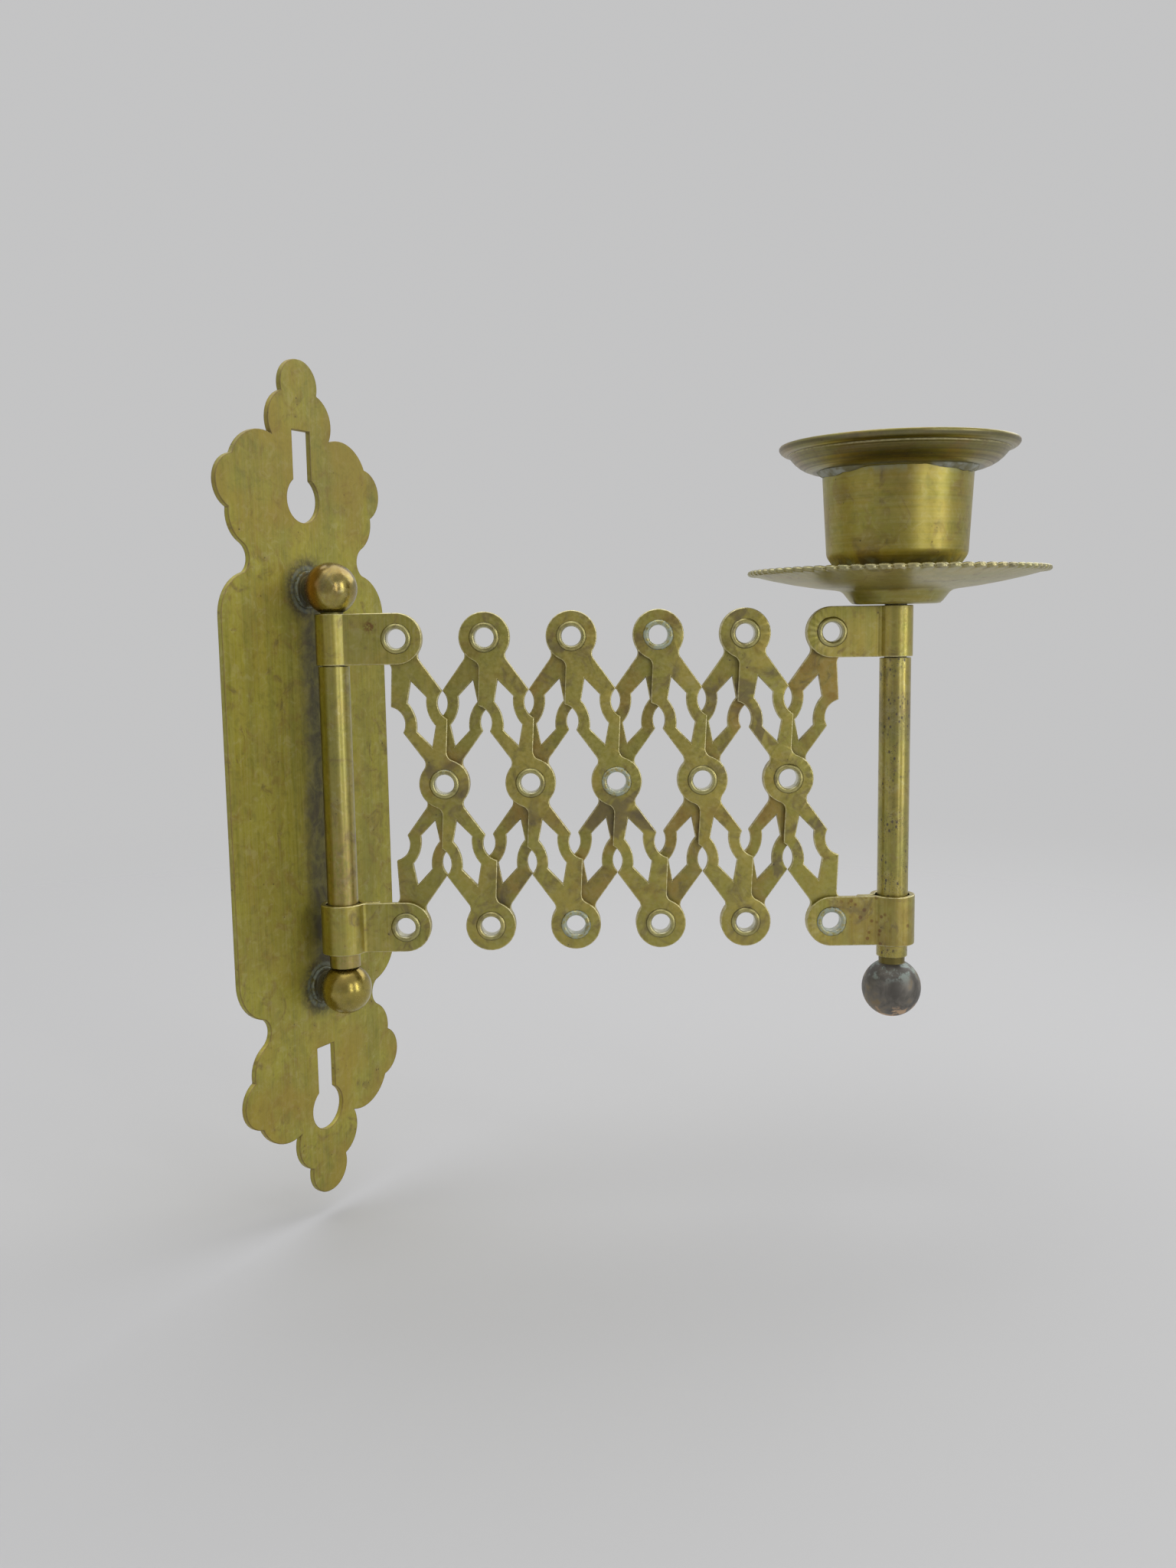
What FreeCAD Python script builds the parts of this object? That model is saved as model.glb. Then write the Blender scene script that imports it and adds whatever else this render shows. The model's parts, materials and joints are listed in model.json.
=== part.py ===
import FreeCAD, Part
import math
import os

# Extending candle wall sconce in brass, in millimetres.
# The wall is the plane y = 0, the front of the sconce faces -Y and +Z is up.
# The origin is the middle of the wall plate's back face.
# The arm is modelled along its own +X axis from the hinge, with the candle post
# at its far end, and is then turned into place about the hinge.

Vec = FreeCAD.Vector
UP = Vec(0, 0, 1)

# Wall plate
plate_t = 1.0
plate_half_w = 19.6
plate_tip = 71.5
shoulder_h = 7.1
keyhole_r = 3.8
keyhole_slot_w = 4.2
keyhole_rise = 11.2
keyhole_height = 52.5
# Scallops of the plate's upper right quarter, from the tip down to the shoulder:
# each is an arc given by a point on the way and its end, in (across, below the tip).
scallops = [
    ((3.4, 1.5), (4.2, 5.4)),
    ((7.3, 8.7), (6.9, 12.6)),
    ((12.9, 13.2), (15.8, 16.5)),
    ((19.5, 20.8), (17.0, 24.9)),
    ((16.6, 27.9), (14.5, 30.2)),
    ((13.0, 32.6), (14.2, 34.9)),
]

# Hinge on the plate
standoff = 5.2
slide_room = 2.5
post_r = 2.3
post_tail_r = 1.8
post_collar_r = 3.1
post_collar_h = 0.5
ball_r = 4.35
rod_r = 1.85
tube_r = 2.6

# Lazy tongs
crossings = 5
link_half = 25.5
link_t = 1.0
eye_r = 4.25
rest_angle = 16.5
neck_fillet = 1.4
# Strands by the middle eye: where the outer edge's line starts, its corner, the window's tip and corner
mid_shoulder = 0.25
mid_corner_u = 10.3
mid_corner_v = 3.9
mid_tip = 6.6
mid_window_u = 9.8
# The same by the end eyes
end_shoulder = 0.85
end_corner_u = 10.5
end_corner_v = 4.5
end_tip = 7.4
end_window_u = 10.7
window_v = 1.65
bite_depth = 0.9
strand_w = 1.9

# Hollow eyelets
eyelet_bore_r = 1.6
eyelet_wall = 0.45
eyelet_flange_w = 0.45
eyelet_flange_h = 0.42

# Clips: strips wrapped round the posts
clip_t = 0.9
clip_bend_r = 1.2
clip_lap = 1.7

# Candle post
knob_r = 5.0
knob_neck_r = 2.2
knob_neck_h = 1.2
tube_tail = 2.2
tenon_r = 1.5
nut_flats = 5.5
nut_h = 2.2

# Drip pan
pan_t = 0.5
pan_r = 24.5
pan_well_room = 1.0
pan_well_flare = 1.8
pan_well_h = 2.2
pan_mid_r = 17.0
pan_mid_h = 3.4
pan_rim_h = 5.2
pan_sweep = 30.0
crimps = 72
crimp_depth = 0.4

# Candle cup and its flange
cup_t = 0.8
cup_foot_r = 6.2
cup_low_r = 11.5
cup_cone_h = 7.6
cup_top_r = 12.3
cup_h = 22.0
cup_bend = 1.6
flange_t = 0.6
flange_flat_w = 2.7
flange_bend = 5.0
flange_wall_w = 2.5
flange_wall_h = 2.4
flange_lip_w = 1.6
flange_lip_h = 1.5

# Pose in the photograph: the arm is swung from the plate's normal towards +X
swing = 31.0

# Clearances
pivot_clear = 0.05
ring_clear = 0.10
slide_clear = 0.25
layer_gap = 0.10
flange_gap = 0.03
lap_gap = 0.05
seat_gap = 0.02
end_gap = 0.20
eye_clear = 0.30

# Places that follow from the sizes
angle = math.radians(rest_angle)
pitch = 2 * link_half * math.sin(angle)
rise = link_half * math.cos(angle)
hinge_y = -(plate_t + standoff)
ball_reach = math.sqrt(ball_r ** 2 - rod_r ** 2)
post_height = rise + eye_r + ball_reach + (end_gap + slide_room) / 2
top_row = post_height - ball_reach - end_gap - eye_r
mid_row = top_row - rise
low_row = mid_row - rise
front_y = -layer_gap / 2 - link_t
back_y = layer_gap / 2
outer_tab_y = front_y - layer_gap - clip_t
inner_tab_y = back_y - layer_gap - clip_t
eyelet_r = eyelet_bore_r + eyelet_wall
hole_r = eyelet_r + pivot_clear
tube_bore_r = rod_r + pivot_clear
tube_top = top_row - eye_r - end_gap
tight_ring_r = rod_r + ring_clear + clip_t / 2
loose_ring_r = tube_r + slide_clear + clip_t / 2
clip_reach = loose_ring_r + clip_bend_r + clip_lap + eye_clear + eye_r
post_x = 2 * clip_reach + crossings * pitch
candle_tube_end = low_row - eye_r - tube_tail
knob_z = candle_tube_end - knob_neck_h - math.sqrt(knob_r ** 2 - knob_neck_r ** 2)
pan_z = top_row + eye_r + end_gap
cup_z = pan_z + pan_t
cup_top_z = cup_z + cup_h
pan_well_r = cup_foot_r + pan_well_room


def turn_point(points, i, closed):
    """Points where the rounding of corner i starts, is half way and ends."""
    count = len(points)
    here = Vec(points[i][0], points[i][1], 0)
    radius = points[i][2] if len(points[i]) > 2 else 0
    if radius == 0 or (not closed and i in (0, count - 1)):
        return [here]
    before = points[(i - 1) % count]
    after = points[(i + 1) % count]
    a = (Vec(before[0], before[1], 0) - here).normalize()
    b = (Vec(after[0], after[1], 0) - here).normalize()
    half = a.getAngle(b) / 2
    run = radius / math.tan(half)
    centre = here + (a + b).normalize() * (radius / math.sin(half))
    middle = centre + (here - centre).normalize() * radius
    return [here + a * run, middle, here + b * run]


def rounded_path(points, closed=False):
    """Lines and arcs through points (x, y) or (x, y, corner radius)."""
    turns = [turn_point(points, i, closed) for i in range(len(points))]
    path = []
    for i, turn in enumerate(turns):
        if len(turn) == 3:
            path.append(turn)
        if closed or i < len(turns) - 1:
            path.append([turn[-1], turns[(i + 1) % len(turns)][0]])
    return path


def edge(points):
    """A line through two points or an arc through three."""
    if len(points) == 2:
        return Part.LineSegment(*points).toShape()
    return Part.Arc(*points).toShape()


def face(path):
    return Part.Face(Part.Wire([edge(points) for points in path]))


def shift(points, d):
    """A piece of a path moved sideways by d, to the left of its direction."""
    if len(points) == 2:
        along = points[1] - points[0]
        left = Vec(-along.y, along.x, 0).normalize()
        return [p + left * d for p in points]
    centre = edge(points).Curve.Center
    bend = (points[1] - points[0]).cross(points[2] - points[1]).z
    inward = math.copysign(1, bend)
    return [p + (centre - p).normalize() * (d * inward) for p in points]


def side(path, d):
    """A whole path moved sideways by d, with sharp corners mitred."""
    moved = [shift(points, d) for points in path]
    for a, b in zip(moved, moved[1:]):
        if len(a) == 2 and len(b) == 2:
            along = (b[1] - b[0]).normalize()
            across = Vec(-along.y, along.x, 0)
            run = a[1] - a[0]
            corner = a[0] + run * ((b[0] - a[0]).dot(across) / run.dot(across))
            a[1] = corner
            b[0] = corner
    return moved


def strip(path, thickness):
    """The section of a bent sheet: a path with its thickness."""
    left = side(path, thickness / 2)
    right = [points[::-1] for points in side(path, -thickness / 2)[::-1]]
    ends = [[left[-1][-1], right[0][0]], [right[-1][-1], left[0][0]]]
    return face(left + [ends[0]] + right + [ends[1]])


def lathe(section):
    """Turn a section in (radius, height) about the Z axis."""
    solid = section.revolve(Vec(), Vec(0, 1, 0), 360)
    solid.rotate(Vec(), Vec(1, 0, 0), 90)
    return solid


def rod(radius, low, high):
    return Part.makeCylinder(radius, high - low, Vec(0, 0, low), UP)


def cross_bar(radius, x, z, y_from, y_to):
    """A cylinder along Y."""
    return Part.makeCylinder(radius, y_to - y_from, Vec(x, y_from, z), Vec(0, 1, 0))


def wall_plate():
    """Scalloped sheet with two keyholes and the holes of the two posts."""
    neck, neck_depth = scallops[-1][1]
    straight_end = plate_tip - neck_depth - shoulder_h
    shoulder = (
        (neck + (plate_half_w - neck) * 0.72, neck_depth + shoulder_h * 0.36),
        (plate_half_w, neck_depth + shoulder_h),
    )
    arcs = []
    last = (0, 0)
    for way, end in scallops + [shoulder]:
        arcs.append([(x, plate_tip - depth) for x, depth in (last, way, end)])
        last = end

    def quarter(sx, sz):
        return [[Vec(sx * x, sz * z, 0) for x, z in arc] for arc in arcs]

    def straight(sx):
        return [Vec(sx * plate_half_w, z, 0) for z in (straight_end, -straight_end)]

    path = quarter(1, 1) + quarter(1, -1) + quarter(-1, -1) + quarter(-1, 1)
    path += [straight(1), straight(-1)]
    wire = Part.Wire(Part.__sortEdges__([edge(points) for points in path]))
    plate = Part.Face(wire).extrude(Vec(0, 0, plate_t))
    for middle in (keyhole_height, -keyhole_height):
        z = middle - (keyhole_rise - keyhole_r) / 2
        plate = plate.cut(Part.makeCylinder(keyhole_r, plate_t, Vec(0, z, 0)))
        slot = Part.makeBox(keyhole_slot_w, keyhole_rise, plate_t)
        plate = plate.cut(slot.translated(Vec(-keyhole_slot_w / 2, z, 0)))
    for z in (post_height, -post_height):
        plate = plate.cut(Part.makeCylinder(post_tail_r, plate_t, Vec(0, z, 0)))
    plate.rotate(Vec(), Vec(1, 0, 0), 90)
    return plate


def post(z):
    """Stem with a collar, its tail riveted through the plate."""
    tip = hinge_y + rod_r + end_gap
    section = face(rounded_path([
        (0, 0), (post_tail_r, 0), (post_tail_r, -plate_t), (post_collar_r, -plate_t),
        (post_collar_r, -plate_t - post_collar_h), (post_r, -plate_t - post_collar_h),
        (post_r, tip), (0, tip),
    ], closed=True))
    return section.revolve(Vec(), Vec(0, 1, 0), 360).translated(Vec(0, 0, z))


def ball(z):
    """Turned ball, drilled for its post and for the end of the hinge rod."""
    solid = Part.makeSphere(ball_r, Vec(0, hinge_y, z))
    solid = solid.cut(cross_bar(post_r, 0, z, hinge_y + rod_r + end_gap, 0))
    seat = rod(rod_r, -post_height, post_height).translated(Vec(0, hinge_y, 0))
    return solid.cut(seat)


def tube(low):
    return rod(tube_r, low, tube_top).cut(rod(tube_bore_r, low, tube_top))


def link():
    """Pierced link along Z with three eyes, its thickness from y = 0."""
    def strand(shoulder, corner):
        """Outer edge of a strand, from its eye's rim round the neck to the corner."""
        lean = math.atan2(corner.x - shoulder, corner.y)
        along = Vec(math.sin(lean), math.cos(lean), 0)
        out = Vec(math.cos(lean), -math.sin(lean), 0)
        away = shoulder * math.cos(lean) + neck_fillet
        centre = out * away + along * math.sqrt((eye_r + neck_fillet) ** 2 - away ** 2)
        on_eye = centre * (eye_r / (eye_r + neck_fillet))
        on_edge = centre - out * neck_fillet
        on_neck = centre + (on_eye + on_edge - centre * 2).normalize() * neck_fillet
        return [[on_eye, on_neck, on_edge], [on_edge, corner]]

    inner = strand(mid_shoulder, Vec(mid_corner_v, mid_corner_u, 0))
    outer = strand(end_shoulder, Vec(end_corner_v, end_corner_u, 0))
    bite_v = mid_corner_v - bite_depth
    bite = Vec(bite_v, (mid_corner_u + link_half - end_corner_u) / 2, 0)

    def mirrored(p, sx, far, half):
        y = link_half - p.y if far else p.y
        return Vec(sx * p.x, half * y, 0)

    path = []
    for sx in (1, -1):
        for half in (1, -1):
            for far, edges in ((False, inner), (True, outer)):
                path += [[mirrored(p, sx, far, half) for p in points] for points in edges]
            ends = [mirrored(edges[-1][-1], sx, far, half) for far, edges in ((False, inner), (True, outer))]
            path.append([ends[0], mirrored(bite, sx, False, half), ends[1]])
        sides = [mirrored(inner[0][0], sx, False, half) for half in (1, -1)]
        path.append([sides[0], Vec(sx * eye_r, 0, 0), sides[1]])
    for half in (1, -1):
        tip = Vec(0, half * (link_half + eye_r), 0)
        path.append([mirrored(outer[0][0], 1, True, half), tip, mirrored(outer[0][0], -1, True, half)])
    wire = Part.Wire(Part.__sortEdges__([edge(points) for points in path]))
    body = Part.Face(wire).extrude(Vec(0, 0, -link_t))

    waist = Vec(bite_v - strand_w, (mid_window_u + link_half - end_window_u) / 2, 0)
    for half in (1, -1):
        window = []
        for sx in (1, -1):
            near = mirrored(Vec(window_v, mid_window_u, 0), sx, False, half)
            far = mirrored(Vec(window_v, end_window_u, 0), sx, True, half)
            window.append([Vec(0, half * mid_tip, 0), near])
            window.append([near, mirrored(waist, sx, False, half), far])
            window.append([far, Vec(0, half * (link_half - end_tip), 0)])
        wire = Part.Wire(Part.__sortEdges__([edge(points) for points in window]))
        body = body.cut(Part.Face(wire).extrude(Vec(0, 0, -link_t)))

    for y in (link_half, 0, -link_half):
        body = body.cut(Part.makeCylinder(hole_r, link_t, Vec(0, y, -link_t)))
    body.rotate(Vec(), Vec(1, 0, 0), 90)
    return body


def eyelet(x, z, y_from, y_to):
    """Hollow rivet with a rolled flange on each face of its stack."""
    rim_r = eyelet_r + eyelet_flange_w
    near = y_from - flange_gap
    far = y_to + flange_gap
    section = face(rounded_path([
        (eyelet_bore_r, near - eyelet_flange_h), (rim_r, near), (eyelet_r, near),
        (eyelet_r, far), (rim_r, far), (eyelet_bore_r, far + eyelet_flange_h),
    ], closed=True))
    return section.revolve(Vec(), Vec(0, 1, 0), 360).translated(Vec(x, 0, z))


def clip(axis_x, z, toward, ring_r, tab_y):
    """Strip wrapped round a post, its long end the tab and its short end lapped behind it."""
    tab = tab_y + clip_t / 2
    lap = tab + clip_t + lap_gap
    reach = ring_r + clip_bend_r

    def bend(y, out):
        """Reverse bend from the straight end at height y into the ring."""
        centre = Vec(math.sqrt(reach ** 2 - (y + out * clip_bend_r) ** 2), y + out * clip_bend_r, 0)
        start = Vec(centre.x, y, 0)
        end = centre * (ring_r / reach)
        middle = centre + (start + end - centre * 2).normalize() * clip_bend_r
        return [start, middle, end]

    front = bend(tab, -1)
    back = bend(lap, 1)
    path = [
        [Vec(clip_reach + eye_r, tab, 0), front[0]],
        front,
        [front[2], Vec(-ring_r, 0, 0), back[2]],
        back[::-1],
        [back[0], Vec(clip_reach - eye_r - eye_clear, lap, 0)],
    ]
    solid = strip(path, clip_t).extrude(Vec(0, 0, 2 * eye_r)).translated(Vec(0, 0, -eye_r))
    depth = 4 * reach
    shape = Part.makeBox(clip_reach + 2 * reach, depth, 2 * eye_r, Vec(-2 * reach, -depth / 2, -eye_r))
    shape = shape.fuse(cross_bar(eye_r, clip_reach, 0, -depth / 2, depth / 2))
    solid = solid.common(shape).cut(cross_bar(hole_r, clip_reach, 0, -depth / 2, depth / 2))
    if toward < 0:
        solid = solid.mirror(Vec(), Vec(1, 0, 0))
    return solid.translated(Vec(axis_x, 0, z))


def drip_pan():
    """Spun dish with a pressed well in the middle and a crimped rim."""
    section = strip(rounded_path([
        (tenon_r + seat_gap, pan_t / 2), (pan_well_r, pan_t / 2),
        (pan_well_r + pan_well_flare, pan_well_h + pan_t / 2),
        (pan_mid_r, pan_mid_h + pan_t / 2, pan_sweep), (pan_r + pan_t, pan_rim_h + pan_t / 2),
    ]), pan_t)
    step = 2 * math.pi / crimps
    rim = []
    for i in range(crimps):
        for a, r in ((i * step, pan_r), ((i + 0.5) * step, pan_r - crimp_depth)):
            rim.append((r * math.cos(a), r * math.sin(a)))
    trim = face(rounded_path(rim, closed=True)).extrude(UP * (pan_rim_h + 2 * pan_t))
    return lathe(section).common(trim)


def candle_cup():
    """Tapered cup on a bevelled foot."""
    inset = cup_t / 2
    section = strip(rounded_path([
        (tenon_r + seat_gap, inset), (cup_foot_r, inset),
        (cup_low_r - inset, cup_cone_h, cup_bend), (cup_top_r - inset, cup_h),
    ]), cup_t)
    return lathe(section)


def cup_flange():
    """Saucer soldered round the mouth of the cup: a dished bowl, a step and a raised lip."""
    base = -flange_t
    bowl_r = cup_top_r + flange_flat_w
    step_r = bowl_r + flange_wall_w
    step_z = base + flange_wall_h
    section = strip(rounded_path([
        (cup_top_r + seat_gap, base), (bowl_r, base, flange_bend),
        (step_r, step_z), (step_r + flange_lip_w, step_z + flange_lip_h),
    ]), flange_t)
    return lathe(section)


def cup_nut():
    """Hexagon nut on the end of the candle rod."""
    size = nut_flats / math.sqrt(3)
    corners = [Vec(size * math.cos(k * math.pi / 3), size * math.sin(k * math.pi / 3), 0) for k in range(7)]
    nut = Part.Face(Part.makePolygon(corners)).extrude(UP * nut_h)
    nut = nut.common(Part.makeCone(size, nut_flats / 2, nut_h))
    return nut.cut(rod(tenon_r, 0, nut_h))


os.makedirs("parts", exist_ok=True)
to_arm = FreeCAD.Placement(Vec(0, hinge_y, 0), FreeCAD.Rotation(UP, swing - 90))
nodes = {
    "wall_plate": wall_plate(),
    "upper_post": post(post_height),
    "lower_post": post(-post_height),
    "upper_ball": ball(post_height),
    "lower_ball": ball(-post_height),
    "hinge_rod": rod(rod_r, -post_height, post_height).translated(Vec(0, hinge_y, 0)),
}
ball_top = -post_height + math.sqrt(ball_r ** 2 - tube_bore_r ** 2)
nodes["hinge_tube"] = tube(ball_top + seat_gap).translated(Vec(0, hinge_y, 0))

arm = {
    "top_hinge_clip": clip(0, top_row, 1, tight_ring_r, outer_tab_y),
    "bottom_hinge_clip": clip(0, low_row, 1, loose_ring_r, inner_tab_y),
    "top_candle_clip": clip(post_x, top_row, -1, tight_ring_r, inner_tab_y),
    "bottom_candle_clip": clip(post_x, low_row, -1, loose_ring_r, outer_tab_y),
}
first_x = clip_reach
last_x = post_x - clip_reach
link_back_y = back_y + link_t
arm["top_hinge_eyelet"] = eyelet(first_x, top_row, outer_tab_y, front_y + link_t)
arm["bottom_hinge_eyelet"] = eyelet(first_x, low_row, inner_tab_y, link_back_y)
arm["top_candle_eyelet"] = eyelet(last_x, top_row, inner_tab_y, link_back_y)
arm["bottom_candle_eyelet"] = eyelet(last_x, low_row, outer_tab_y, front_y + link_t)

# Front links lean from top left to bottom right, back links the other way
plain_link = link()
for i in range(1, crossings + 1):
    middle_x = first_x + (i - 0.5) * pitch
    for name, y, lean in (("front", front_y, -rest_angle), ("back", back_y, rest_angle)):
        piece = plain_link.copy()
        piece.rotate(Vec(), Vec(0, 1, 0), lean)
        arm[f"{name}_link_{i}"] = piece.translated(Vec(middle_x, y, mid_row))
    pivots = [(middle_x, mid_row)]
    if i > 1:
        pivots.append((middle_x - pitch / 2, top_row))
    if i < crossings:
        pivots.append((middle_x + pitch / 2, low_row))
    arm[f"link_eyelets_{i}"] = Part.makeCompound([eyelet(x, z, front_y, link_back_y) for x, z in pivots])

knob = Part.makeSphere(knob_r, Vec(0, 0, knob_z)).cut(
    Part.makeBox(3 * knob_r, 3 * knob_r, knob_r, Vec(-1.5 * knob_r, -1.5 * knob_r, candle_tube_end - knob_neck_h)))
knob = knob.fuse(rod(knob_neck_r, knob_z, candle_tube_end)).cut(rod(rod_r, knob_z, candle_tube_end))
cup_floor = cup_z + cup_t
rod_end = cup_floor + nut_h + tenon_r / 2
candle = {
    "candle_knob": knob,
    "candle_tube": tube(candle_tube_end),
    "candle_rod": rod(rod_r, knob_z, pan_z).fuse(rod(tenon_r, pan_z, rod_end)),
    "drip_pan": drip_pan().translated(Vec(0, 0, pan_z)),
    "candle_cup": candle_cup().translated(Vec(0, 0, cup_z)),
    "cup_flange": cup_flange().translated(Vec(0, 0, cup_top_z)),
    "cup_nut": cup_nut().translated(Vec(0, 0, cup_floor)),
}
for name, shape in candle.items():
    arm[name] = shape.translated(Vec(post_x, 0, 0))
for name, shape in arm.items():
    nodes[name] = shape.transformed(to_arm.toMatrix())

for name, shape in nodes.items():
    shape.exportStep(f"parts/{name}.step")
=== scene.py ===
import bmesh
import bpy
import json
import math
from mathutils import Matrix, Vector, noise


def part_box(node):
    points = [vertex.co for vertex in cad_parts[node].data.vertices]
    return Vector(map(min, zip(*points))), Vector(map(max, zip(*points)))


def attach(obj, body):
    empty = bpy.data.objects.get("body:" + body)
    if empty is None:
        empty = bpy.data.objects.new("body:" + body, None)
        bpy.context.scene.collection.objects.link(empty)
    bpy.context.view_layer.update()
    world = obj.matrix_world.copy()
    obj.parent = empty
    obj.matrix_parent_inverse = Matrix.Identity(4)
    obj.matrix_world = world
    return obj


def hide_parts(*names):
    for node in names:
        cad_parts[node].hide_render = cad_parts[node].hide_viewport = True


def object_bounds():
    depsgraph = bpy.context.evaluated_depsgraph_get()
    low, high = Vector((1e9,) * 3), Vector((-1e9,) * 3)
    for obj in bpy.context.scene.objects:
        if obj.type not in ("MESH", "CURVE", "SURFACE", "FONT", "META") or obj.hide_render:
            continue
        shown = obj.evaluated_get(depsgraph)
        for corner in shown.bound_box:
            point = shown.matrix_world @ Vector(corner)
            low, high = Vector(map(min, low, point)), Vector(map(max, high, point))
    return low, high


# Extending candle wall sconce in old brass.
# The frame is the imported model, in metres; sizes below are written in millimetres.

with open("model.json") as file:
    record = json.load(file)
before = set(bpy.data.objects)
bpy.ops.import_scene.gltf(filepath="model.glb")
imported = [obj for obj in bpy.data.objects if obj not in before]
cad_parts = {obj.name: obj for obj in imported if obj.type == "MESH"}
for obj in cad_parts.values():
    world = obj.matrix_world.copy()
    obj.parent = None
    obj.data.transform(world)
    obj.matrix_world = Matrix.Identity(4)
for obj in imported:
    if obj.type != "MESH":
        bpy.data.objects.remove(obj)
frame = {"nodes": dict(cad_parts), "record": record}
cad_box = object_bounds()

MM = 0.001
CROSSINGS = 5

# Sizes of the plate's ends, the knob, the cup's mouth, the pan's rim and the eyelets
ENDS_Z = 38.0
KNOB_R = 5.0
CUP_R = 12.3
RIM_R = 23.4
CRIMPS = 72
BORE_R = 1.60
BARREL_R = 2.05
LIP_R = 2.5

# Thickness of the links and clips, the gap between them, and the room under an eyelet's lip
LINK = 1.0
CLIP = 0.9
GAP = 0.10
ROOM = 0.03

# Faces that an eyelet grips, across the arm: two links, or a clip in front of a link
LINK_FACE = GAP / 2 + LINK
TWO_LINKS = (-LINK_FACE - ROOM, LINK_FACE + ROOM)
ON_FRONT_LINK = (-LINK_FACE - GAP - CLIP - ROOM, -GAP / 2 + ROOM)
ON_BACK_LINK = (-GAP / 2 - CLIP - ROOM, LINK_FACE + ROOM)

# Places read from the frame: the joints' points and the boxes of some nodes
points = {joint["name"]: Vector(joint["pos_m"]) / MM for joint in frame["record"]["behaviour"]["joints"]}
HINGE = points["arm_swing"]
to_candle = (points["candle_swivel"] - HINGE).xy
POST_X = to_candle.length
ARM_TURN = math.atan2(to_candle.y, to_candle.x)
REACH = (points["extension"] - HINGE).xy.length
LAST_X = POST_X - REACH
PITCH = (points["middle_pivot_2"] - points["middle_pivot_1"]).xy.length
TOP_ROW = HINGE.z
MID_ROW = points["middle_pivot_1"].z
LOW_ROW = points["bottom_hinge_clip_pivot"].z


def lowest(node):
    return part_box(node)[0][2] / MM


def highest(node):
    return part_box(node)[1][2] / MM


POST_Z = (lowest("upper_post") + highest("upper_post")) / 2
COLLAR_R = (highest("upper_post") - lowest("upper_post")) / 2
PAN_Z = lowest("drip_pan")
CUP_Z = lowest("candle_cup")
CUP_TOP = highest("candle_cup")

ARM = Matrix.Translation((0, HINGE.y, 0)) @ Matrix.Rotation(ARM_TURN, 4, "Z")
CANDLE = ARM @ Matrix.Translation((POST_X, 0, 0))
CANDLE_AXIS = (*CANDLE.translation.xy, 0)
KNOB_CENTRE = (*CANDLE.translation.xy, lowest("candle_knob") + KNOB_R)


# Shader maths

class Value:
    """A socket of a finish's node tree; arithmetic on it adds Math nodes."""

    def __init__(self, finish, socket):
        self.finish = finish
        self.socket = socket

    def math(self, operation, *values):
        return self.finish.add("ShaderNodeMath", {"operation": operation}, *values)

    def __add__(self, other):
        return self.math("ADD", self, other)

    def __radd__(self, other):
        return self.math("ADD", other, self)

    def __sub__(self, other):
        return self.math("SUBTRACT", self, other)

    def __rsub__(self, other):
        return self.math("SUBTRACT", other, self)

    def __mul__(self, other):
        return self.math("MULTIPLY", self, other)

    def __rmul__(self, other):
        return self.math("MULTIPLY", other, self)

    def __pow__(self, other):
        return self.math("POWER", self, other)

    def least(self, other):
        return self.math("MINIMUM", self, other)

    def most(self, other):
        return self.math("MAXIMUM", self, other)

    def size(self):
        return self.math("ABSOLUTE", self)

    def fade(self, start, end):
        """0 before start and 1 past end, with soft ends; end may be below start."""
        settings = {"interpolation_type": "SMOOTHSTEP"}
        if start < end:
            return self.finish.add("ShaderNodeMapRange", settings, Value=self, From_Min=start, From_Max=end)
        return 1 - self.finish.add("ShaderNodeMapRange", settings, Value=self, From_Min=end, From_Max=start)


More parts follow.
